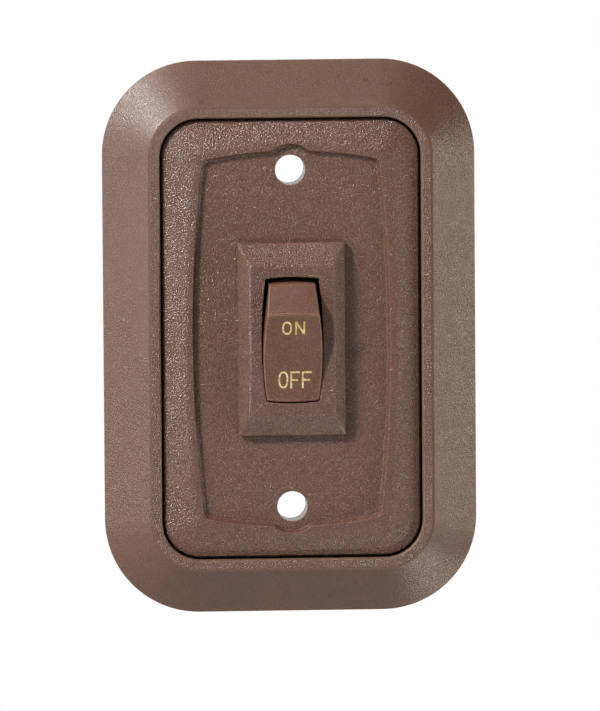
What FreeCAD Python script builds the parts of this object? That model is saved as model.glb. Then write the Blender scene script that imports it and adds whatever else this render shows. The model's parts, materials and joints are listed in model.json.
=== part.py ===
import FreeCAD, Part
import math
import os

# A surface rocker switch on a contoured wall plate, with its trim bezel.
# Sizes are in millimetres. Everything is drawn lying on its back: x to the right, y up the wall,
# z out of the wall into the room, with the wall at z = 0. stand_up turns it upright on export,
# so that +Z is up and the front faces -Y. The origin lies on the wall, midway between the two
# screw holes.

V = FreeCAD.Vector
ORIGIN = V(0, 0, 0)
ALONG_X = V(1, 0, 0)
OUT = V(0, 0, 1)

# Clearances
running_gap = 0.05          # a pin in its bearing, a plunger or a screw in its hole
opening_gap = 0.3           # beside the rocker's middle, in its opening
sweep_gap = 0.27            # the rocker's crest past the end of its opening
plate_gap = 0.4             # round the plate, inside the bezel
case_gap = 0.95             # beside the rocker, inside the switch case
case_end_gap = 0.4          # past the rocker's toes, inside the switch case
tongue_gap = 0.15           # a tongue beside the walls of its slot
slot_end_gap = 0.2          # past the end of a trunnion
strip_gap = 0.15            # the rocking contact between the saddle's ears
contact_gap = 0.04          # closed contacts, and the plunger's nose at mid travel
base_gap = 0.1              # the base's rim inside the case

# Trim bezel
bezel_width = 79.1
bezel_height = 117.5
bezel_corner = 20.0
bezel_edge = 1.1            # upright edge that stands on the wall
bezel_rise = 7.7            # height of the rim off the wall
bezel_slope = 9.55          # how far the sloping face runs inwards
bezel_rim = 2.28            # width of the flat rim
bezel_wall = 1.8
ledge_height = 3.8          # top of the ledge that the wall plate lies on
ledge_width = 2.6
rim_bevel = 0.3

# Wall plate
plate_edge = 2.6            # thickness of the plate at its edge
plate_thickness = 2.2       # behind the recessed panel
crest_rise = 4.3            # crest above the ledge
side_slope = 5.0            # from the plate's long sides in to the middle of the crest
end_slope = 5.2             # the same from its short sides
crest_band = 1.3            # flat between the slope and the recess
side_bow = 2.15             # how far the contour's long sides bow out
end_bow = 1.9               # how far its short sides bow out
crest_corner = 1.2
recess_depth = 1.3
recess_shoulder = 0.6       # how far the step down to the panel leans
recess_corner = 1.6
crest_bevel = 0.35          # half the width of the bevel along the crest
crest_fall = 0.25           # how steeply that bevel falls
plate_edge_bevel = 0.3
skirt_width = 2.6           # the plate's edge that lies on the ledge

# Screws through the plate into the wall box
screw_margin = 10.72        # from the plate's end to the middle of each screw hole
screw_hole = 6.4
screw_boss = 11.0
notch_radius = 5.7          # the recess opens round each screw hole
notch_blend = 2.5

# Raised surround moulded on the plate
surround_width = 22.8
surround_height = 41.2
surround_upright = 1.7      # its upright wall above the panel
surround_rise = 4.5         # its flat top above the panel
surround_top_width = 18.0
surround_top_height = 31.7
surround_bevel = 0.25

# Rocker, in its own upright frame with the pivot at the origin
pivot_depth = 0.9           # pivot behind the wall face
tilt = 13.5                 # degrees to each side of upright
face_reach = 15.0           # pivot to the line that joins the two crests
crest_offset = 9.75         # each crest from the middle of the face
dish_radius = 50.0
end_angle = 50.0            # the end faces fall away from the face
end_bow_radius = 38.0
end_face = 7.55             # from each crest down to the toe
rocker_half_width = 6.25
rocker_bow_radius = 60.0
bow_reach = 7.5             # each side bows this far from its middle, then runs straight
rocker_wall = 1.5
skirt_bottom = 4.5          # the skirt ends this far in front of the pivot
cheek_radius = 2.9
cheek_spread = 5.5
rocker_bevel = 0.2          # along the crests, the toes and the sides of the faces
trunnion_radius = 2.0
trunnion_length = 2.6
stem_width = 5.2
stem_reach = 4.0            # behind the pivot
rib = 1.2

# Opening for the rocker
opening_side_bow = 0.9
opening_end_bow = 0.4

# Plunger and its spring, in the rocker's frame
plunger_radius = 1.5
plunger_back = -0.6         # its flat end, where the spring presses
nose_reach = 6.55
nose_radius = 1.0
nose_angle = 45.0           # slope of the cone behind the round nose
bore_top = 5.5
spring_turns = 4
spring_wire = 0.36
spring_radius = 1.15

# Rocking contact
rock = 9.0                  # degrees to each side of level
arm_rise = 6.0              # degrees each arm leans towards the rocker
strip = 0.8
strip_width = 4.6
lower_arm = 10.4
upper_arm = 6.8
knuckle_radius = 1.2
knuckle_depth = 0.55        # axis of the knuckle behind the strip's front
button_offset = 8.5         # contact buttons below the knuckle
button_radius = 1.7
button_height = 0.8
shank_radius = 0.8

# Saddle that carries the rocking contact
saddle_half = 1.8
saddle_rise = 0.7
ear_thickness = 0.6
ear_half = 1.6
ear_rise = 2.2
saddle_tail = 7.4

# Terminals
blade_width = 6.3
blade_thickness = 0.8
blade_length = 8.0
blade_offset = 12.2         # blades above and below the middle
blade_hole = 1.6
blade_hole_offset = 4.1     # its centre from the blade's tip
blade_chamfer = 1.2
common_foot_start = 2.4     # where each foot starts, below the middle
load_foot_start = 5.6
rivet_offset = 4.8
rivet_radius = 1.1
rivet_head_radius = 1.9
rivet_head = 0.5
load_button_radius = 1.9

# Case and terminal base
case_wall = 1.6
case_side = 4.3
case_corner = 1.5
base_thickness = 2.5
base_rim = 1.0
base_rim_height = 0.8

# Long screws that hold base and case to the plate
case_screw_x = 9.35
case_screw_y = 15.0
case_screw_radius = 1.45
case_screw_hole = 1.6
case_screw_bite = 3.6       # into the plate behind the surround
case_screw_relief = 0.5     # its hole goes this much deeper
case_screw_head_radius = 2.6
case_screw_head = 1.7
cross_reach = 1.55
cross_width = 0.6
cross_depth = 1.0

# Heights and places that follow from the sizes above
plate_back = ledge_height
plate_rim_top = ledge_height + plate_edge
crest_top = ledge_height + crest_rise
panel_top = crest_top - recess_depth
panel_back = panel_top - plate_thickness
surround_top = panel_top + surround_rise
bezel_opening_offset = bezel_slope + bezel_rim
plate_width = bezel_width - 2 * (bezel_opening_offset + plate_gap)
plate_height = bezel_height - 2 * (bezel_opening_offset + plate_gap)
plate_corner = bezel_corner - bezel_opening_offset - plate_gap
crest_half_width = plate_width / 2 - side_slope
crest_half_height = plate_height / 2 - end_slope
screw_spacing = plate_height - 2 * screw_margin
pivot = V(0, 0, -pivot_depth)
toe_offset = crest_offset + end_face * math.cos(math.radians(end_angle))
toe_height = face_reach - end_face * math.sin(math.radians(end_angle))
skirt_reach = math.hypot(toe_offset, toe_height)
opening_reach = math.hypot(face_reach, crest_offset) + sweep_gap
opening_rise = surround_top + pivot_depth
opening_half_width = rocker_half_width + opening_gap
opening_half_height = math.sqrt(opening_reach**2 - opening_rise**2)
cavity_half_width = rocker_half_width + case_gap
cavity_half_height = skirt_reach + case_end_gap
case_half_width = cavity_half_width + case_side
case_half_height = cavity_half_height + case_wall
valley_z = -pivot_depth - nose_reach - contact_gap
knuckle = V(0, 0, valley_z - knuckle_depth)


def box(x0, x1, y0, y1, z0, z1):
    """A box between two corners."""
    return Part.makeBox(x1 - x0, y1 - y0, z1 - z0, V(x0, y0, z0))


def rod(radius, start, end):
    """A cylinder between two points."""
    return Part.makeCylinder(radius, (end - start).Length, start, end - start)


def turned(shape, degrees, centre=ORIGIN):
    """A copy turned about a line along x, with its top towards the room for positive angles."""
    copy = shape.copy()
    copy.rotate(centre, ALONG_X, degrees)
    return copy


def moved(shape, offset):
    copy = shape.copy()
    copy.translate(offset)
    return copy


def arc(start, middle, end):
    return Part.Arc(start, middle, end).toShape()


def rounded_rectangle(width, height, corner, z):
    """A closed wire, anticlockwise from the foot of the right side."""
    half_w, half_h = width / 2, height / 2
    edges = []
    for quarter in range(4):
        across, up = (half_w, half_h) if quarter % 2 == 0 else (half_h, half_w)
        centre = V(across - corner, up - corner, z)
        slant = corner * math.sqrt(0.5)
        side = Part.LineSegment(V(across, corner - up, z), V(across, up - corner, z)).toShape()
        bend = arc(V(across, up - corner, z), centre + V(slant, slant, 0), V(across - corner, up, z))
        for edge in (side, bend):
            edge.rotate(ORIGIN, OUT, 90 * quarter)
            edges.append(edge)
    return Part.Wire(edges)


def barrel(half_w, bow_w, half_h, bow_h, corner, z):
    """A closed wire of four sides that bow out, joined by small corner arcs."""
    corner_x, corner_y = half_w - bow_w, half_h - bow_h
    side_radius = (corner_y**2 + bow_w**2) / (2 * bow_w)
    end_radius = (corner_x**2 + bow_h**2) / (2 * bow_h)
    side_centre = V(half_w - side_radius, 0, z)
    end_centre = V(0, half_h - end_radius, z)
    between = end_centre - side_centre
    near, far = side_radius - corner, end_radius - corner
    along = (near**2 - far**2 + between.Length**2) / (2 * between.Length)
    across = math.sqrt(near**2 - along**2)
    unit = V(between).normalize()
    centre = side_centre + unit * along + V(-unit.y, unit.x, 0) * across
    to_side = V(centre - side_centre).normalize()
    to_end = V(centre - end_centre).normalize()
    on_side = centre + to_side * corner
    on_end = centre + to_end * corner
    on_bend = centre + V(to_side + to_end).normalize() * corner

    def mirror(point, sign_x, sign_y):
        return V(point.x * sign_x, point.y * sign_y, z)

    edges = []
    for sign_x, sign_y in ((1, 1), (-1, 1), (-1, -1), (1, -1)):
        first, last = (on_side, on_end) if sign_x * sign_y > 0 else (on_end, on_side)
        edges.append(arc(mirror(first, sign_x, sign_y), mirror(on_bend, sign_x, sign_y),
                         mirror(last, sign_x, sign_y)))
        if sign_x * sign_y > 0:
            edges.append(arc(mirror(last, sign_x, sign_y), V(0, half_h * sign_y, z),
                             mirror(last, -sign_x, sign_y)))
        else:
            edges.append(arc(mirror(last, sign_x, sign_y), V(half_w * sign_x, 0, z),
                             mirror(last, sign_x, -sign_y)))
    return Part.Wire(edges[-1:] + edges[:-1])


def prism(wire, height):
    return Part.Face(wire).extrude(OUT * height)


def loft(*wires):
    return Part.makeLoft(list(wires), True, True)


def side_profile(points, half_width):
    """A solid of a closed outline of (y, z) points, from -half_width to half_width along x.

    A point written as a pair of pairs is the middle and the end of an arc.
    """
    edges, last = [], None
    for point in points + points[:1]:
        if isinstance(point[0], tuple):
            middle, end = (V(-half_width, *p) for p in point)
            edges.append(arc(last, middle, end))
            last = end
            continue
        here = V(-half_width, *point)
        if last is not None and (here - last).Length > 1e-9:
            edges.append(Part.LineSegment(last, here).toShape())
        last = here
    return Part.Face(Part.Wire(edges)).extrude(ALONG_X * 2 * half_width)


def edges_where(shape, test):
    """The edges whose two ends and middle all pass a test."""
    found = []
    for edge in shape.Edges:
        first, last = edge.ParameterRange
        points = [edge.valueAt(t) for t in (first, (first + last) / 2, last)]
        if all(test(p) for p in points):
            found.append(edge)
    return found


def bezel_line(offset, z):
    """The bezel's outline drawn in by an offset, with its corners on the same centres."""
    return rounded_rectangle(bezel_width - 2 * offset, bezel_height - 2 * offset,
                             bezel_corner - offset, z)


def make_bezel():
    rise = bezel_rise - bezel_edge
    lean = math.hypot(rise, bezel_slope)
    inner_shift = bezel_wall * lean / rise - bezel_edge * bezel_slope / rise
    wall_offset = bezel_opening_offset - bezel_wall
    inner_top = (wall_offset - inner_shift) * rise / bezel_slope
    body = prism(bezel_line(0, 0), bezel_edge)
    body = body.fuse(loft(bezel_line(0, bezel_edge), bezel_line(bezel_slope, bezel_rise)))
    body = body.cut(loft(bezel_line(inner_shift, 0), bezel_line(wall_offset, inner_top)))
    ledge_back = ledge_height - bezel_wall
    body = body.fuse(prism(bezel_line(wall_offset, ledge_back), bezel_rise - bezel_wall - ledge_back))
    body = body.cut(prism(bezel_line(bezel_opening_offset, ledge_height), bezel_rise))
    body = body.cut(prism(bezel_line(bezel_opening_offset + ledge_width, 0), bezel_rise))
    body = body.removeSplitter()
    rim = edges_where(body, lambda p: abs(p.z - bezel_rise) < 1e-4)
    return body.makeChamfer(rim_bevel, rim)


def contour(inset, corner, z, shoulder=0.0):
    """The bowed outline of the crest, drawn in by an inset."""
    total = inset + shoulder
    return barrel(crest_half_width - total, side_bow, crest_half_height - total, end_bow, corner, z)


def make_recess():
    """What the recessed panel and the notches round the screw holes leave out of the plate."""
    above = 1.0
    slope = recess_shoulder / recess_depth
    flare = slope * above
    tool = loft(contour(crest_band, recess_corner, panel_top, recess_shoulder),
                contour(crest_band, recess_corner, crest_top + above, -flare))
    for side in (-1, 1):
        foot = V(0, side * screw_spacing / 2, panel_top)
        notch = Part.makeCone(notch_radius - recess_shoulder, notch_radius + flare,
                              recess_depth + above, foot, OUT)
        tool = tool.fuse(notch)
    tool = tool.removeSplitter()

    def at_notch_mouth(point):
        return abs(point.x) > 1 and abs(point.x) < notch_radius

    corners = [e for e in edges_where(tool, at_notch_mouth)
               if abs(e.Vertexes[0].Z - e.Vertexes[-1].Z) > recess_depth]
    return tool.makeFillet(notch_blend, corners)


def rectangle(width, height, z):
    half_w, half_h = width / 2, height / 2
    corners = [V(half_w, -half_h, z), V(half_w, half_h, z), V(-half_w, half_h, z), V(-half_w, -half_h, z)]
    return Part.makePolygon(corners + corners[:1])


def make_surround():
    """The raised surround: an upright wall, then four chamfers up to a flat top."""
    level = panel_top + surround_upright
    body = prism(rectangle(surround_width, surround_height, panel_back), level - panel_back)
    body = body.fuse(loft(rectangle(surround_width, surround_height, level),
                          rectangle(surround_top_width, surround_top_height, surround_top)))
    body = body.removeSplitter()
    soft = [e for e in body.Edges if max(v.Z for v in e.Vertexes) > level - 1e-4]
    return body.makeChamfer(surround_bevel, soft)


def swept_barrel(radius, bow, half_width):
    """A solid of revolution about the pivot line whose outline bows by bow at half_width."""
    drop = V(half_width, 0, radius - bow)
    ends = (V(-half_width, 0, radius - bow), V(0, 0, radius), drop)
    edges = [arc(*ends),
             Part.LineSegment(drop, V(half_width, 0, 0)).toShape(),
             Part.LineSegment(V(half_width, 0, 0), V(-half_width, 0, 0)).toShape(),
             Part.LineSegment(V(-half_width, 0, 0), ends[0]).toShape()]
    return Part.Face(Part.Wire(edges)).revolve(ORIGIN, ALONG_X, 360)


def lens(half_width, bow_radius, half_height, z0, z1):
    """A prism whose two long sides bow out."""
    end_x = half_width - (bow_radius - math.sqrt(bow_radius**2 - half_height**2))
    edges = [arc(V(end_x, -half_height, z0), V(half_width, 0, z0), V(end_x, half_height, z0)),
             Part.LineSegment(V(end_x, half_height, z0), V(-end_x, half_height, z0)).toShape(),
             arc(V(-end_x, half_height, z0), V(-half_width, 0, z0), V(-end_x, -half_height, z0)),
             Part.LineSegment(V(-end_x, -half_height, z0), V(end_x, -half_height, z0)).toShape()]
    return prism(Part.Wire(edges), z1 - z0)


def make_opening():
    """The rocker's opening: bowed sides, and ends that follow the rocker's swing."""
    corner_x = opening_half_width - opening_side_bow
    corner_y = opening_half_height - opening_end_bow
    side_radius = (corner_y**2 + opening_side_bow**2) / (2 * opening_side_bow)
    wide = opening_half_width + 1
    bow = (opening_reach - math.hypot(corner_y, opening_rise)) * (wide / corner_x) ** 2
    ends = moved(swept_barrel(opening_reach, bow, wide), pivot)
    sides = lens(opening_half_width, side_radius, opening_reach, pivot.z, surround_top + 1)
    return ends.common(sides)


def plate_line(inset, z):
    """The plate's outline drawn in by an inset."""
    return rounded_rectangle(plate_width - 2 * inset, plate_height - 2 * inset, plate_corner - inset, z)


def make_wall_plate():
    bevel_foot = plate_rim_top - plate_edge_bevel
    slope_top = crest_top - crest_bevel * crest_fall
    body = prism(plate_line(0, plate_back), bevel_foot - plate_back)
    body = body.fuse(loft(plate_line(0, bevel_foot), plate_line(plate_edge_bevel, plate_rim_top)))
    body = body.fuse(loft(plate_line(plate_edge_bevel, plate_rim_top),
                          contour(-crest_bevel, crest_corner + crest_bevel, slope_top)))
    body = body.fuse(loft(contour(-crest_bevel, crest_corner + crest_bevel, slope_top),
                          contour(crest_bevel, crest_corner, crest_top)))
    body = body.cut(make_recess())
    body = body.cut(prism(plate_line(skirt_width, 0), panel_back))
    body = body.fuse(make_surround())
    for side in (-1, 1):
        foot = V(0, side * screw_spacing / 2, 0)
        top = foot + OUT * crest_top
        body = body.fuse(rod(screw_boss / 2, foot, foot + OUT * panel_back))
        body = body.cut(rod(screw_hole / 2, foot, top))
    body = body.cut(make_opening())
    for side in (-1, 1):
        pilot = V(side * case_screw_x, side * case_screw_y, panel_back)
        depth = case_screw_bite + case_screw_relief
        body = body.cut(rod(case_screw_radius + running_gap, pilot, pilot + OUT * depth))
        body = body.fuse(make_tongue(side))
    return body.removeSplitter()


def slot_ends(side):
    """Where a trunnion's slot starts and ends along x."""
    reach = rocker_half_width + trunnion_length + slot_end_gap
    return sorted((side * cavity_half_width, side * reach))


def make_tongue(side):
    """The tongue that keeps a trunnion down in its slot."""
    x0, x1 = slot_ends(side)
    half = trunnion_radius + running_gap - tongue_gap
    tongue = box(x0 + tongue_gap, x1 - tongue_gap, -half, half, pivot.z, panel_back)
    bearing = rod(trunnion_radius + running_gap, V(x0, 0, pivot.z), V(x1, 0, pivot.z))
    return tongue.cut(bearing)


def rocker_end(side, inset):
    """Everything inside one end face and the upright skirt under it, bowed in plan."""
    slope = math.radians(end_angle)
    along = V(math.cos(slope), 0, -math.sin(slope))
    crest = V(crest_offset, 0, face_reach) - V(math.sin(slope), 0, math.cos(slope)) * inset
    skirt = crest_offset + end_face * math.cos(slope) - inset
    toe = crest + along * ((skirt - crest.x) / along.x)
    above = crest - along * (end_face / 2)
    axis = crest_offset - end_bow_radius
    points = [V(axis, 0, -face_reach), V(skirt, 0, -face_reach), toe, above, V(axis, 0, above.z)]
    form = Part.Face(Part.makePolygon(points + points[:1])).revolve(V(axis, 0, 0), OUT, 360)
    form.rotate(ORIGIN, OUT, side * 90)
    return form


def rocker_sides(inset):
    """A prism whose long sides bow in the middle and run straight on to its ends."""
    lean = math.asin(bow_reach / rocker_bow_radius)
    half = rocker_half_width - inset
    bend = half - rocker_bow_radius * (1 - math.cos(lean))
    end_y = skirt_reach + 1
    end_x = bend - (end_y - bow_reach) * math.tan(lean)
    points = ((end_x, -end_y), (bend, -bow_reach), (half, 0), (bend, bow_reach), (end_x, end_y),
              (-end_x, end_y))
    edges = []
    for side in (1, -1):
        corners = [V(side * x, side * y, -face_reach) for x, y in points]
        edges.append(Part.LineSegment(corners[0], corners[1]).toShape())
        edges.append(arc(*corners[1:4]))
        edges.append(Part.LineSegment(corners[3], corners[4]).toShape())
        edges.append(Part.LineSegment(corners[4], corners[5]).toShape())
    return prism(Part.Wire(edges), 2 * face_reach + 1)


def rocker_form(inset=0.0):
    """The rocker's outside from the face back, drawn in all round by an inset."""
    sides = rocker_sides(inset)
    body = sides.common(rocker_end(1, inset)).common(rocker_end(-1, inset))
    axis = face_reach + math.sqrt(dish_radius**2 - crest_offset**2)
    half = V(rocker_half_width + 1, 0, 0)
    return body.cut(rod(dish_radius + inset, OUT * axis - half, OUT * axis + half))


def make_shell():
    """The rocker's outside with its skirt and the two cheeks round the pivot, softened."""
    far = skirt_reach + 2
    below = side_profile([(-far, skirt_bottom), (-cheek_spread, skirt_bottom), (-cheek_radius, 0),
                          ((0, -cheek_radius), (cheek_radius, 0)), (cheek_spread, skirt_bottom),
                          (far, skirt_bottom), (far, -far), (-far, -far)], rocker_half_width + 1)
    body = rocker_form()
    soft = edges_where(body, lambda p: p.z > toe_height - 0.01)
    return body.makeChamfer(rocker_bevel, soft).cut(below)


def make_rocker():
    """The rocker upright: a hollow moulding with a stem, ribs and two trunnions."""
    inside = rocker_form(rocker_wall)
    body = make_shell().cut(inside)
    half = stem_width / 2
    core = box(-half, half, -half, half, -stem_reach, face_reach)
    core = core.fuse(box(-20, 20, -rib / 2, rib / 2, cheek_radius, face_reach))
    core = core.fuse(box(-rib / 2, rib / 2, -20, 20, skirt_bottom + 3, face_reach))
    body = body.fuse(core.common(inside))
    for side in (-1, 1):
        start = V(side * (rocker_half_width - rocker_wall), 0, 0)
        body = body.fuse(rod(trunnion_radius, start, V(side * (rocker_half_width + trunnion_length), 0, 0)))
    bore = rod(plunger_radius + running_gap, V(0, 0, -stem_reach - 1), V(0, 0, bore_top))
    return body.cut(bore).removeSplitter()


def make_plunger():
    """The plunger upright, its round nose pointing back at the rocking contact."""
    centre = nose_radius - nose_reach
    slope = math.radians(nose_angle)
    tangent = V(nose_radius * math.sin(slope), 0, centre - nose_radius * math.cos(slope))
    tip = V(0, 0, -nose_reach)
    on_cap = V(nose_radius * math.sin(slope / 2), 0, centre - nose_radius * math.cos(slope / 2))
    shoulder = V(plunger_radius, 0, tangent.z + (plunger_radius - tangent.x) * math.tan(slope))
    outline = [arc(tip, on_cap, tangent)]
    corners = [tangent, shoulder, V(plunger_radius, 0, plunger_back), V(0, 0, plunger_back), tip]
    outline += [Part.LineSegment(a, b).toShape() for a, b in zip(corners, corners[1:])]
    return Part.Face(Part.Wire(outline)).revolve(ORIGIN, OUT, 360)


def make_spring():
    """The compression spring between the plunger and the top of its bore, of square wire."""
    room = bore_top - plunger_back - spring_wire
    helix = Part.makeHelix(room / spring_turns, room, spring_radius)
    half = spring_wire / 2
    corners = [V(spring_radius + half, 0, half), V(spring_radius - half, 0, half),
               V(spring_radius - half, 0, -half), V(spring_radius + half, 0, -half)]
    section = Part.makePolygon(corners + corners[:1])
    coil = Part.Wire(helix.Edges).makePipeShell([section], True, True)
    return moved(coil, OUT * (plunger_back + half))


def on_lower_arm(shape):
    """Puts a shape drawn at the origin square on the front of the lower arm."""
    lean = math.tan(math.radians(arm_rise))
    return moved(turned(shape, -arm_rise), V(0, -button_offset, valley_z + button_offset * lean))


def make_rocking_contact():
    """The level rocking contact, its two arms leaning towards the rocker."""
    lean = math.tan(math.radians(arm_rise))
    back = strip / math.cos(math.radians(arm_rise))
    low_z, high_z = valley_z + lower_arm * lean, valley_z + upper_arm * lean
    body = side_profile([(-lower_arm, low_z), (0, valley_z), (upper_arm, high_z),
                         (upper_arm, high_z - back), (0, valley_z - back),
                         (-lower_arm, low_z - back)], strip_width / 2)
    half = V(strip_width / 2, 0, 0)
    pin = rod(knuckle_radius, knuckle - half, knuckle + half)
    behind = box(-strip_width, strip_width, -knuckle_radius, knuckle_radius,
                 knuckle.z - knuckle_radius, valley_z - strip / 2)
    hole = rod(shank_radius, V(0, 0, -strip), ORIGIN)
    return body.fuse(pin.common(behind)).cut(on_lower_arm(hole)).removeSplitter()


def make_button():
    """The moving contact: a button behind the lower arm, its shank closed flush in front."""
    body = rod(shank_radius, V(0, 0, -strip), ORIGIN)
    body = body.fuse(rod(button_radius, V(0, 0, -strip - button_height), V(0, 0, -strip)))
    return on_lower_arm(body)


def closed_contact_z():
    """How far back the moving contact's face reaches when it is closed."""
    return turned(make_button(), rock, knuckle).BoundBox.ZMin


load_top = closed_contact_z() - contact_gap
foot_front = load_top - button_height
base_front = foot_front - blade_thickness
base_back = base_front - base_thickness


def make_saddle():
    """The brass saddle whose groove carries the knuckle between two ears."""
    half = strip_width / 2 + strip_gap
    wide = half + ear_thickness
    back = foot_front
    body = box(-wide, wide, -saddle_half, saddle_tail, back, back + strip)
    body = body.fuse(box(-wide, wide, -saddle_half, saddle_half, back, back + strip + saddle_rise))
    for side in (-1, 1):
        x0, x1 = sorted((side * half, side * wide))
        body = body.fuse(box(x0, x1, -ear_half, ear_half, back, knuckle.z + ear_rise))
    groove = rod(knuckle_radius + running_gap, V(-half, 0, knuckle.z), V(half, 0, knuckle.z))
    body = body.cut(groove)
    hole = V(0, rivet_offset, back)
    return body.cut(rod(rivet_radius, hole, hole + OUT * strip)).removeSplitter()


def make_blade(side, start, hole_y):
    """A terminal bent from strip: a foot on the base and a blade through it."""
    half = blade_width / 2
    end = side * (blade_offset + blade_thickness / 2)
    tip = base_back - blade_length
    y0, y1 = sorted((start, end))
    foot = box(-half, half, y0, y1, base_front, foot_front)
    y0, y1 = sorted((end, end - side * blade_thickness))
    blade = box(-half, half, y0, y1, tip, foot_front)
    corners = [e for e in blade.Edges if abs(e.Vertexes[0].Z - tip) < 1e-6
               and abs(e.Vertexes[-1].Z - tip) < 1e-6 and e.Length < half
               and abs(e.Vertexes[0].X) > half - 1e-6]
    blade = blade.makeChamfer(blade_chamfer, corners)
    eye = tip + blade_hole_offset
    blade = blade.cut(rod(blade_hole / 2, V(0, y0, eye), V(0, y1, eye)))
    hole = rod(rivet_radius, V(0, hole_y, base_front), V(0, hole_y, foot_front))
    return foot.fuse(blade).cut(hole).removeSplitter()


def make_rivet(y, front, front_radius, front_height):
    """A rivet through the base, closed over behind it."""
    body = rod(rivet_radius, V(0, y, base_back), V(0, y, front))
    body = body.fuse(rod(front_radius, V(0, y, front), V(0, y, front + front_height)))
    tail = rod(rivet_head_radius, V(0, y, base_back), V(0, y, base_back - rivet_head))
    return body.fuse(tail).removeSplitter()


def screw_places():
    return [V(side * case_screw_x, side * case_screw_y, 0) for side in (1, -1)]


def case_block(back, front):
    """The case's outline between two depths."""
    outline = rounded_rectangle(2 * case_half_width, 2 * case_half_height, case_corner, back)
    return prism(outline, front - back)


def make_case():
    shell = case_block(base_front, panel_back)
    shell = shell.cut(box(-cavity_half_width, cavity_half_width, -cavity_half_height,
                          cavity_half_height, base_front, panel_back))
    slot = trunnion_radius + running_gap
    for side in (-1, 1):
        x0, x1 = slot_ends(side)
        shell = shell.cut(box(x0, x1, -slot, slot, pivot.z, panel_back))
        shell = shell.cut(rod(slot, V(x0, 0, pivot.z), V(x1, 0, pivot.z)))
    for place in screw_places():
        shell = shell.cut(rod(case_screw_hole, place + OUT * base_front, place + OUT * panel_back))
    return shell.removeSplitter()


def make_base():
    plate = case_block(base_back, base_front)
    half_w, half_h = cavity_half_width - base_gap, cavity_half_height - base_gap
    rim = box(-half_w, half_w, -half_h, half_h, base_front, base_front + base_rim_height)
    inner_w, inner_h = half_w - base_rim, half_h - base_rim
    rim = rim.cut(box(-inner_w, inner_w, -inner_h, inner_h, base_front, base_front + base_rim_height))
    plate = plate.fuse(rim)
    for side in (-1, 1):
        half_slot = blade_thickness / 2 + running_gap
        slot_y = side * blade_offset
        half_blade = blade_width / 2 + running_gap
        plate = plate.cut(box(-half_blade, half_blade, slot_y - half_slot, slot_y + half_slot,
                              base_back, base_front))
    for place in screw_places():
        plate = plate.cut(rod(case_screw_hole, place + OUT * base_back, place + OUT * base_front))
    for y in (rivet_offset, -button_offset):
        plate = plate.cut(rod(rivet_radius, V(0, y, base_back), V(0, y, base_front)))
    return plate.removeSplitter()


def make_case_screw(place):
    """A long cheese-head screw with a blunt end and a crossed recess."""
    tip = panel_back + case_screw_bite
    head_back = base_back - case_screw_head
    body = rod(case_screw_radius, place + OUT * base_back, place + OUT * tip)
    body = body.fuse(rod(case_screw_head_radius, place + OUT * head_back, place + OUT * base_back))
    arm, half = cross_reach, cross_width / 2
    for long_x, long_y in ((arm, half), (half, arm)):
        body = body.cut(box(place.x - long_x, place.x + long_x, place.y - long_y, place.y + long_y,
                            head_back, head_back + cross_depth))
    return body.removeSplitter()


def on_rocker(shape):
    """Puts an upright piece of the rocker at its pivot, tilted to OFF with its top out."""
    return moved(turned(shape, tilt), pivot)


def at_rest(shape):
    """Turns a level piece of the rocking contact to where it rests in OFF."""
    return turned(shape, -rock, knuckle)


def stand_up(shape):
    return turned(shape, 90)


def make_parts():
    upper, lower = screw_places()
    common = make_blade(1, -common_foot_start, rivet_offset)
    load = make_blade(-1, -load_foot_start, -button_offset)
    return {
        "bezel": make_bezel(),
        "wall_plate": make_wall_plate(),
        "rocker": on_rocker(make_rocker()),
        "plunger": on_rocker(make_plunger()),
        "plunger_spring": on_rocker(make_spring()),
        "contact_rocker": at_rest(make_rocking_contact()),
        "moving_contact": at_rest(make_button()),
        "contact_cradle": make_saddle(),
        "common_blade": common,
        "common_rivet": make_rivet(rivet_offset, foot_front + strip, rivet_head_radius, rivet_head),
        "load_blade": load,
        "load_contact": make_rivet(-button_offset, foot_front, load_button_radius, button_height),
        "switch_case": make_case(),
        "terminal_base": make_base(),
        "case_screw_upper": make_case_screw(upper),
        "case_screw_lower": make_case_screw(lower),
    }


os.makedirs("parts", exist_ok=True)
for name, shape in make_parts().items():
    stand_up(shape).exportStep(f"parts/{name}.step")
    print(name, shape.isValid(), len(shape.Solids), round(shape.Volume, 1))
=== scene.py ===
import json
import math
import bmesh
import bpy
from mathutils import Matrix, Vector
from mathutils.bvhtree import BVHTree


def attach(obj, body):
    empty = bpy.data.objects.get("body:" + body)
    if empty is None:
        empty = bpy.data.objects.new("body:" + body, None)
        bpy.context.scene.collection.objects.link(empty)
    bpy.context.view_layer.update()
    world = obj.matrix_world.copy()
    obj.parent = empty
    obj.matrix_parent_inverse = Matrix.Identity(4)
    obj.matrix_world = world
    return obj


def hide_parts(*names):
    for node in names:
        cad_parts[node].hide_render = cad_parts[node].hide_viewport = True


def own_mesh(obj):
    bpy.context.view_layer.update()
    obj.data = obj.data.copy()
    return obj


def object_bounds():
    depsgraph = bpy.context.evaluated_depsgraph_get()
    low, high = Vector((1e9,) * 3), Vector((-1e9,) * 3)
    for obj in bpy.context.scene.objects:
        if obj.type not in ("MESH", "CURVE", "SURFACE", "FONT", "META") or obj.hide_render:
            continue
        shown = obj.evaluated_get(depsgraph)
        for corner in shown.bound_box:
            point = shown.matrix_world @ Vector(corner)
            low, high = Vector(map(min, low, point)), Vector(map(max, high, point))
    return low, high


# Looks of a brown rocker switch on its wall plate. Lengths are in metres, in the frame of the packed
# model: +Z up, the front faces -Y, the origin on the wall between the two screw holes.

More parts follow.
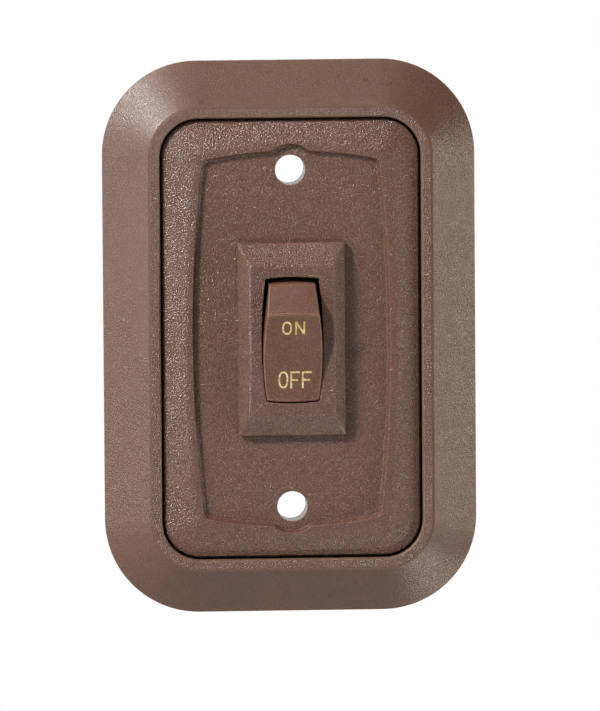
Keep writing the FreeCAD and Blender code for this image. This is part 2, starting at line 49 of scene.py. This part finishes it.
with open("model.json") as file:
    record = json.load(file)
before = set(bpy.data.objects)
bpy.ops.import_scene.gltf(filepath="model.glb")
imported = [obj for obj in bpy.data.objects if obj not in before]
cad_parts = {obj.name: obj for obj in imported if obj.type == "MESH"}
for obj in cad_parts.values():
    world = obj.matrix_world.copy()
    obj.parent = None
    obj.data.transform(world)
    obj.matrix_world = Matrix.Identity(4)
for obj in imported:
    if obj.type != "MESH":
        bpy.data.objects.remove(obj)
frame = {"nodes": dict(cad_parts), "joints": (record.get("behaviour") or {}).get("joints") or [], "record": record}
cad_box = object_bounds()
MM = 0.001

# Camera. Its angles are in degrees.
camera_distance = 2.5
camera_azimuth = -3.6       # to the left of the front
camera_elevation = 5.6
camera_roll = -0.40
camera_aim = Vector((2.26, 0.0, -4.36)) * MM
view_height = 151.1 * MM    # what the picture's height takes in at the aim
sensor = 36.0               # millimetres
clip_near, clip_far = 0.05, 20.0

# Light
neutral = (1.0, 1.0, 1.0)
warm = (1.0, 0.93, 0.80)
lamp_distance = 1.4
# name, direction from the object, diameter in metres, power in watts, colour
lamps = (
    ("key", (-1.08, -1.0, 1.0), 0.24, 19.0, neutral),
    ("top_fill", (-0.1, -0.65, 0.85), 0.3, 2.2, neutral),
    ("left_fill", (-0.9, -0.55, 0.05), 0.3, 4.3, neutral),
    ("right_rim", (1.0, -0.2, -0.05), 0.6, 6.2, warm),
    ("low_right_rim", (0.6, -0.3, -0.75), 0.25, 5.2, (1.0, 0.94, 0.8)),
    ("back_fill", (0.5, 1.0, -0.15), 0.5, 9.0, neutral),
)
room_level = 0.015          # how much the world lights the object
floor_drop = 1.8            # floor below the object's lowest edge, as under a switch on a wall
floor_reach = 6.0
floor_grey = 0.8
floor_white = 0.4, 1.0      # the floor's own white near the object and far from it
floor_near, floor_far = 1.9, 4.0     # and the distances that it grows between

# Procedural surfaces
mask_rays = 6               # for rounded edges and for the painted shade in corners
flat_skin = 0.998           # cosine to the rounded normal at which an edge mask ends
mottle_size = 7 * MM
# Size of the patches that break up the paler edges, of wear and painted highlight.
wear_and_highlight_size = 1.2 * MM
speck_size = 0.27 * MM
polish_size = 2.5 * MM      # patches of duller and smoother skin
# How far the painted shade in corners and gaps looks for nearby faces.
painted_shade_reach = 0.9 * MM
front_from, front_to = -0.995, -0.96     # Y of the normal, where front_depth starts to fade and ends

# Lettering, in the rocker's upright frame
foil_lift = 0.03 * MM       # the foil's front above the rocker's skin
foil_skirt = 1.3            # how deep its edge goes from there, in lifts
foil_bands = 8              # level cuts in each word, so that it bends with the hollow face
ring_steps, ring_power = 48, 0.8     # points round an O, and how boxy it is
stroke = 0.39 * MM
on_middle = 6.47 * MM       # above the middle of the face
off_middle = -5.13 * MM
on_height = 3.0 * MM
off_height = 3.63 * MM


def linear(red, green, blue):
    """An sRGB colour of 0 to 255 as linear RGBA."""
    def one(value):
        value /= 255
        return value / 12.92 if value <= 0.04045 else ((value + 0.055) / 1.055) ** 2.4
    return (one(red), one(green), one(blue), 1.0)


def add(tree, kind, inputs=None, **settings):
    """Adds a node. An input is a value, or a socket to link it to."""
    node = tree.nodes.new(kind)
    for name, value in settings.items():
        setattr(node, name, value)
    for name, value in (inputs or {}).items():
        if isinstance(value, bpy.types.NodeSocket):
            tree.links.new(value, node.inputs[name])
        else:
            node.inputs[name].default_value = value
    return node


def arithmetic(tree, operation, *values):
    return add(tree, "ShaderNodeMath", dict(enumerate(values)), operation=operation).outputs[0]


def own_place(tree):
    """The place on the surface, in the object's own coordinates."""
    return add(tree, "ShaderNodeTexCoord").outputs["Object"]


def true_normal(tree):
    return add(tree, "ShaderNodeNewGeometry").outputs["Normal"]


def noise(tree, size, detail=3.0):
    """Noise whose lumps are about one size across."""
    return add(tree, "ShaderNodeTexNoise",
               {"Vector": own_place(tree), "Scale": 1 / size, "Detail": detail}).outputs["Fac"]


def between(tree, value, low, high, start=0.3, end=0.7):
    """Stretches a value between start and end to low and high, and holds it there."""
    return add(tree, "ShaderNodeMapRange", {"Value": value, "From Min": start, "From Max": end,
                                            "To Min": low, "To Max": high}).outputs["Result"]


def blend_colours(tree, factor, first, second):
    """The first colour where the factor is 0, the second where it is 1. Each is a value or a socket."""
    node = add(tree, "ShaderNodeMix", data_type="RGBA")
    for socket, value in zip((node.inputs[0], node.inputs[6], node.inputs[7]), (factor, first, second)):
        if isinstance(value, bpy.types.NodeSocket):
            tree.links.new(value, socket)
        else:
            socket.default_value = value
    return node.outputs[2]


def start_material(name):
    """A new material with its node tree and its shader."""
    material = bpy.data.materials.new(name)
    material.use_nodes = True
    return material, material.node_tree, material.node_tree.nodes["Principled BSDF"]


def set_surface(tree, shader, colour, roughness, bump):
    """Links what varies over a surface to its shader."""
    for name, socket in (("Base Color", colour), ("Roughness", roughness), ("Normal", bump.outputs["Normal"])):
        tree.links.new(socket, shader.inputs[name])


def rounded_edges(tree, radius, blunt=0.93):
    """The normal with its edges rounded, and a mask of where those edges are."""
    soft = add(tree, "ShaderNodeBevel", {"Radius": radius}, samples=mask_rays).outputs["Normal"]
    along = add(tree, "ShaderNodeVectorMath", {0: soft, 1: true_normal(tree)},
                operation="DOT_PRODUCT").outputs["Value"]
    return soft, between(tree, along, 1.0, 0.0, blunt, flat_skin)


def moulded(name, colour, rough, grain, depth, edge_radius, wear_and_highlight=0.25, mottle=0.04, cells=0.0, speckle=0.3,
            blunt=0.93, gloss=0.6, front_depth=1.0, painted_shade_strength=0.97):
    """Moulded plastic: grained skin, slightly uneven colour, painted shade in the corners, edges paler from rubbed
    wear and painted highlight.

    grain is the size of the skin's bumps and cells that of its pebbles, each depth high. On faces that
    look to the front the depth is front_depth times as much. speckle is how far painted shade darkens
    pits and painted glints pale tips; blunt is the cosine at which wear and painted highlight pale an edge most.
    """
    material, tree, shader = start_material(name)
    shader.inputs["Specular IOR Level"].default_value = gloss

    def shade(factor, lift=0.0):
        return tuple(min(1.0, c * factor + lift) for c in colour[:3]) + (1.0,)

    # The first is painted shade for the grain's pits, the second painted shade for corners and gaps.
    pit_shade, painted_shade_colour = shade(0.38), shade(0.06)
    # A paler colour: rubbed wear on edges, painted highlights on edges and painted glints on pebble tips.
    pale_wear_and_highlight = shade(2.0, 0.05)
    height = noise(tree, grain, 2.0)
    soft, edge = rounded_edges(tree, edge_radius, blunt)
    patches = between(tree, noise(tree, mottle_size, 5.0), 0.0, 1.0)
    body = blend_colours(tree, patches, shade(1 - mottle), shade(1 + mottle))
    if cells:
        pebbles = add(tree, "ShaderNodeTexVoronoi", {"Vector": own_place(tree), "Scale": 1 / cells},
                      feature="F1").outputs["Distance"]
        height = arithmetic(tree, "MULTIPLY_ADD", height, 0.6, pebbles)
        # Pits darkened with painted shade.
        body = blend_colours(tree, between(tree, pebbles, 0.0, speckle, 0.45, 0.15), body, pit_shade)
        # Pebble tips paled with painted glints.
        glint_specks = between(tree, noise(tree, speck_size, 2.0), 0.0, speckle, 0.52, 0.68)
        body = blend_colours(tree, glint_specks, body, pale_wear_and_highlight)
    # Edges paled, partly rubbed wear and partly painted highlight.
    uneven = between(tree, noise(tree, wear_and_highlight_size, 4.0), 0.3, wear_and_highlight * 2)
    body = blend_colours(tree, arithmetic(tree, "MULTIPLY", edge, uneven), body, pale_wear_and_highlight)
    # Painted shade: corners, creases and gaps darkened by how closed in they are.
    open_sky = add(tree, "ShaderNodeAmbientOcclusion", {"Distance": painted_shade_reach},
                   samples=mask_rays).outputs["AO"]
    body = blend_colours(tree, between(tree, open_sky, painted_shade_strength, 0.0, 0.35, 0.78), body, painted_shade_colour)
    roughness = between(tree, noise(tree, polish_size, 4.0), rough - 0.05, rough + 0.06)
    facing = add(tree, "ShaderNodeSeparateXYZ", {0: true_normal(tree)}).outputs["Y"]
    relief = between(tree, facing, depth * front_depth, depth, front_from, front_to)
    bump = add(tree, "ShaderNodeBump", {"Strength": 1.0, "Distance": relief, "Height": height, "Normal": soft})
    set_surface(tree, shader, body, roughness, bump)
    return material


def metal(name, colour, rough, edge_radius, grain=0.05 * MM, depth=0.002 * MM):
    """Rolled or drawn metal, a little tarnished, bright along its edges."""
    material, tree, shader = start_material(name)
    shader.inputs["Metallic"].default_value = 1.0
    soft, edge = rounded_edges(tree, edge_radius)
    dull = tuple(c * 0.72 for c in colour[:3]) + (1.0,)
    bright = tuple(min(1.0, c * 1.12) for c in colour[:3]) + (1.0,)
    body = blend_colours(tree, between(tree, noise(tree, 2.5 * MM, 6.0), 0.0, 1.0), dull, colour)
    body = blend_colours(tree, edge, body, bright)
    roughness = between(tree, noise(tree, 0.8 * MM, 4.0), rough - 0.06, rough + 0.1)
    bump = add(tree, "ShaderNodeBump", {"Strength": 0.6, "Distance": depth,
                                        "Height": noise(tree, grain, 2.0), "Normal": soft})
    set_surface(tree, shader, body, roughness, bump)
    return material


def gold_foil():
    """Hot-stamped foil, rubbed through in specks."""
    material, tree, shader = start_material("gold_foil")
    shader.inputs["Metallic"].default_value = 0.25
    pale, deep, brown = linear(255, 244, 190), linear(214, 184, 100), linear(132, 104, 72)
    gold = blend_colours(tree, between(tree, noise(tree, 0.7 * MM, 3.0), 0.0, 1.0, 0.38, 0.6), pale, deep)
    pale_wear_and_highlight = between(tree, noise(tree, 0.4 * MM, 5.0), 0.0, 0.7, 0.58, 0.7)
    roughness = between(tree, noise(tree, 0.3 * MM), 0.34, 0.52)
    bump = add(tree, "ShaderNodeBump",
               {"Strength": 0.5, "Distance": 0.01 * MM, "Height": noise(tree, 0.15 * MM)})
    set_surface(tree, shader, blend_colours(tree, pale_wear_and_highlight, gold, brown), roughness, bump)
    return material


def dress_nodes():
    """Gives every node of the model its material, by the record's slots."""
    plastics = {
        "bezel_plastic": dict(
            colour=linear(112, 81, 66), rough=0.32, grain=0.2 * MM, depth=0.042 * MM, edge_radius=0.25 * MM,
            wear_and_highlight=0.8, cells=0.26 * MM, speckle=0.36, gloss=0.6, front_depth=3.5),
        "plate_plastic": dict(
            colour=linear(106, 73, 58), rough=0.22, grain=0.26 * MM, depth=0.125 * MM, edge_radius=0.3 * MM,
            wear_and_highlight=0.3, cells=0.32 * MM, speckle=0.8, gloss=0.7, front_depth=1.12),
        "rocker_plastic": dict(
            colour=linear(113, 79, 62), rough=0.32, grain=0.2 * MM, depth=0.05 * MM, edge_radius=0.24 * MM,
            wear_and_highlight=1.2, mottle=0.12, cells=0.26 * MM, speckle=0.55, blunt=0.98, gloss=0.45, painted_shade_strength=0.6),
        "phenolic": dict(
            colour=linear(58, 46, 41), rough=0.42, grain=0.15 * MM, depth=0.008 * MM, edge_radius=0.25 * MM),
        "nylon": dict(
            colour=linear(222, 217, 202), rough=0.42, grain=0.15 * MM, depth=0.004 * MM, edge_radius=0.1 * MM,
            wear_and_highlight=0.1),
    }
    metals = {
        "brass": dict(colour=linear(212, 176, 104), rough=0.30, edge_radius=0.08 * MM),
        "copper": dict(colour=linear(210, 138, 100), rough=0.32, edge_radius=0.08 * MM),
        "silver": dict(colour=linear(214, 212, 206), rough=0.28, edge_radius=0.1 * MM),
        "spring_steel": dict(colour=linear(176, 178, 182), rough=0.28, edge_radius=0.05 * MM),
        "screw_steel": dict(colour=linear(186, 188, 190), rough=0.32, edge_radius=0.25 * MM),
    }
    finishes = {name: moulded(name, **values) for name, values in plastics.items()}
    finishes.update((name, metal(name, **values)) for name, values in metals.items())
    for part in frame["record"]["subparts"]:
        node = frame["nodes"][part["node"]]
        node.material_slots[0].material = finishes[part["material_slot"]]


def joint(name):
    return next(j for j in frame["joints"] if j["name"] == name)


tilt_joint = joint("rocker_tilt")
rest_tilt = math.radians(tilt_joint["range_deg"][1]) / 2
pivot = Vector(tilt_joint["pos_m"])


def from_rocker(x, y, z):
    """A point of the rocker's upright frame, with z out of its face, where it lies at rest."""
    up = y * math.cos(rest_tilt) - z * math.sin(rest_tilt)
    out = y * math.sin(rest_tilt) + z * math.cos(rest_tilt)
    return pivot + Vector((x, -out, up))


def o_outline(width, height):
    """A tall round-cornered ring, as an outer and an inner loop of as many points."""
    loops = []
    for inset in (0.0, stroke):
        half_w, half_h, loop = width / 2 - inset, height / 2 - inset, []
        for step in range(ring_steps):
            angle = 2 * math.pi * step / ring_steps
            across, up = (math.copysign(abs(v) ** ring_power, v) for v in (math.cos(angle), math.sin(angle)))
            loop.append((half_w * across, half_h * up))
        loops.append(loop)
    return loops


def n_outline(width, height):
    w, h, s, slant = width / 2, height / 2, stroke, stroke * 1.95
    return [(-w, -h), (-w + s, -h), (-w + s, h - slant), (w - s, -h), (w, -h), (w, h), (w - s, h),
            (w - s, -h + slant), (-w + s, h), (-w, h)]


def f_outline(width, height):
    w, h, s, bar = width / 2, height / 2, stroke, height * 0.04
    return [(-w, -h), (-w + s, -h), (-w + s, bar - s), (w - s, bar - s), (w - s, bar), (-w + s, bar),
            (-w + s, h - s), (w, h - s), (w, h), (-w, h)]


def make_word(name, letters, middle, height, material, face):
    """Flat letters laid on the rocker's hollow face, as thin as foil."""
    mesh = bmesh.new()
    for kind, centre, width in letters:
        def corner(point):
            return mesh.verts.new((centre + point[0], middle + point[1], 0.0))

        if kind == "O":
            outer, inner = ([corner(p) for p in loop] for loop in o_outline(width, height))
            for i in range(len(outer)):
                j = (i + 1) % len(outer)
                mesh.faces.new((outer[i], outer[j], inner[j], inner[i]))
        else:
            outline = n_outline(width, height) if kind == "N" else f_outline(width, height)
            mesh.faces.new([corner(p) for p in outline])
    for step in range(1, foil_bands):
        level = middle - height / 2 + height * step / foil_bands
        everything = mesh.verts[:] + mesh.edges[:] + mesh.faces[:]
        bmesh.ops.bisect_plane(mesh, geom=everything, plane_co=(0, level, 0), plane_no=(0, 1, 0))
    bmesh.ops.triangulate(mesh, faces=mesh.faces[:])
    bmesh.ops.recalc_face_normals(mesh, faces=mesh.faces[:])
    if mesh.faces[:][0].normal.z < 0:
        bmesh.ops.reverse_faces(mesh, faces=mesh.faces[:])
    above = 30 * MM
    inward = (from_rocker(0, 0, 0) - from_rocker(0, 0, 1)).normalized()
    for vertex in mesh.verts:
        hit = face.ray_cast(from_rocker(vertex.co.x, vertex.co.y, above), inward)[0]
        vertex.co = hit - inward * foil_lift
    skirt = bmesh.ops.extrude_face_region(mesh, geom=mesh.faces[:])["geom"]
    bmesh.ops.translate(mesh, verts=[v for v in skirt if isinstance(v, bmesh.types.BMVert)],
                        vec=inward * foil_lift * foil_skirt)
    bmesh.ops.recalc_face_normals(mesh, faces=mesh.faces[:])
    data = bpy.data.meshes.new(name)
    mesh.to_mesh(data)
    mesh.free()
    word = bpy.data.objects.new(name, data)
    bpy.context.scene.collection.objects.link(word)
    data.materials.append(material)
    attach(word, "rocker")
    return word


def make_lettering():
    foil = gold_foil()
    face = BVHTree.FromObject(frame["nodes"]["rocker"], bpy.context.evaluated_depsgraph_get())
    make_word("lettering_on", [("O", -1.35 * MM, 2.1 * MM), ("N", 1.42 * MM, 2.1 * MM)],
              on_middle, on_height, foil, face)
    make_word("lettering_off",
              [("O", -2.05 * MM, 2.1 * MM), ("F", 0.43 * MM, 2.0 * MM), ("F", 2.93 * MM, 2.1 * MM)],
              off_middle, off_height, foil, face)


def make_spring():
    """The plunger's spring, copied from its node, which is hidden, and carried by the rocker's body."""
    node = frame["nodes"]["plunger_spring"]
    spring = bpy.data.objects.new("plunger_spring_coil", node.data.copy())
    bpy.context.scene.collection.objects.link(spring)
    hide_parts("plunger_spring")
    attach(spring, "rocker")
    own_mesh(spring)


def aim(thing, place, target, roll=0.0):
    """Puts a camera or lamp at a place and points it at a target."""
    turn = (target - place).to_track_quat("-Z", "Y").to_euler()
    thing.location, thing.rotation_euler = place, turn
    thing.rotation_euler.rotate_axis("Z", math.radians(roll))


def make_camera():
    """The photograph's view of the object."""
    data = bpy.data.cameras.new("camera")
    camera = bpy.data.objects.new("camera", data)
    bpy.context.scene.collection.objects.link(camera)
    azimuth, elevation = math.radians(camera_azimuth), math.radians(camera_elevation)
    back = Vector((math.sin(azimuth) * math.cos(elevation), -math.cos(azimuth) * math.cos(elevation),
                   math.sin(elevation)))
    data.sensor_width = sensor
    data.lens = sensor * camera_distance / view_height
    data.clip_start, data.clip_end = clip_near, clip_far
    aim(camera, camera_aim + back * camera_distance, camera_aim, camera_roll)
    bpy.context.scene.camera = camera


def make_lamp(name, direction, size, power, colour):
    """A round lamp that looks at the object from the direction."""
    data = bpy.data.lights.new(name, "AREA")
    data.shape, data.size, data.energy, data.color = "DISK", size, power, colour
    lamp = bpy.data.objects.new(name, data)
    bpy.context.scene.collection.objects.link(lamp)
    aim(lamp, Vector(direction).normalized() * lamp_distance, Vector((0, 0, 0)))


def make_world():
    """Plain room light, with the white backdrop behind the object seen by the camera and by gloss."""
    world = bpy.data.worlds.new("studio")
    bpy.context.scene.world = world
    world.use_nodes = True
    tree = world.node_tree
    background = tree.nodes["Background"]
    paths = add(tree, "ShaderNodeLightPath").outputs
    facing = add(tree, "ShaderNodeSeparateXYZ",
                 {0: add(tree, "ShaderNodeTexCoord").outputs["Generated"]}).outputs["Y"]
    behind = between(tree, facing, 0.0, 1.0, 0.0, 0.15)
    shiny = arithmetic(tree, "MAXIMUM", paths["Is Glossy Ray"], paths["Is Transmission Ray"])
    mirrored = arithmetic(tree, "MULTIPLY", shiny, behind)
    seen = arithmetic(tree, "MAXIMUM", paths["Is Camera Ray"], mirrored)
    tree.links.new(between(tree, seen, room_level, 1.0, 0.0, 1.0), background.inputs["Strength"])
    background.inputs["Color"].default_value = (1.0, 1.0, 1.0, 1.0)


def make_floor():
    """A pale floor below the object, which turns white further out to the camera and to gloss."""
    level = cad_box[0].z - floor_drop
    corners = [(x * floor_reach, y * floor_reach, level) for x, y in ((-1, -1), (1, -1), (1, 1), (-1, 1))]
    data = bpy.data.meshes.new("floor")
    data.from_pydata(corners, [], [(0, 1, 2, 3)])
    floor = bpy.data.objects.new("floor", data)
    bpy.context.scene.collection.objects.link(floor)
    material, tree, shader = start_material("floor_paint")
    shader.inputs["Base Color"].default_value = (floor_grey, floor_grey, floor_grey, 1.0)
    shader.inputs["Roughness"].default_value = 0.8
    shader.inputs["Emission Color"].default_value = (1.0, 1.0, 1.0, 1.0)
    paths = add(tree, "ShaderNodeLightPath").outputs
    seen = paths["Is Camera Ray"]
    for ray in ("Is Glossy Ray", "Is Transmission Ray"):
        seen = arithmetic(tree, "MAXIMUM", seen, paths[ray])
    away = add(tree, "ShaderNodeVectorMath", {0: own_place(tree)}, operation="LENGTH").outputs["Value"]
    white = between(tree, away, *floor_white, floor_near, floor_far)
    tree.links.new(arithmetic(tree, "MULTIPLY", seen, white), shader.inputs["Emission Strength"])
    data.materials.append(material)


dress_nodes()
make_lettering()
make_spring()
make_camera()
make_world()
make_floor()
for lamp in lamps:
    make_lamp(*lamp)
bpy.context.scene.view_settings.view_transform = "Standard"

bpy.context.view_layer.update()
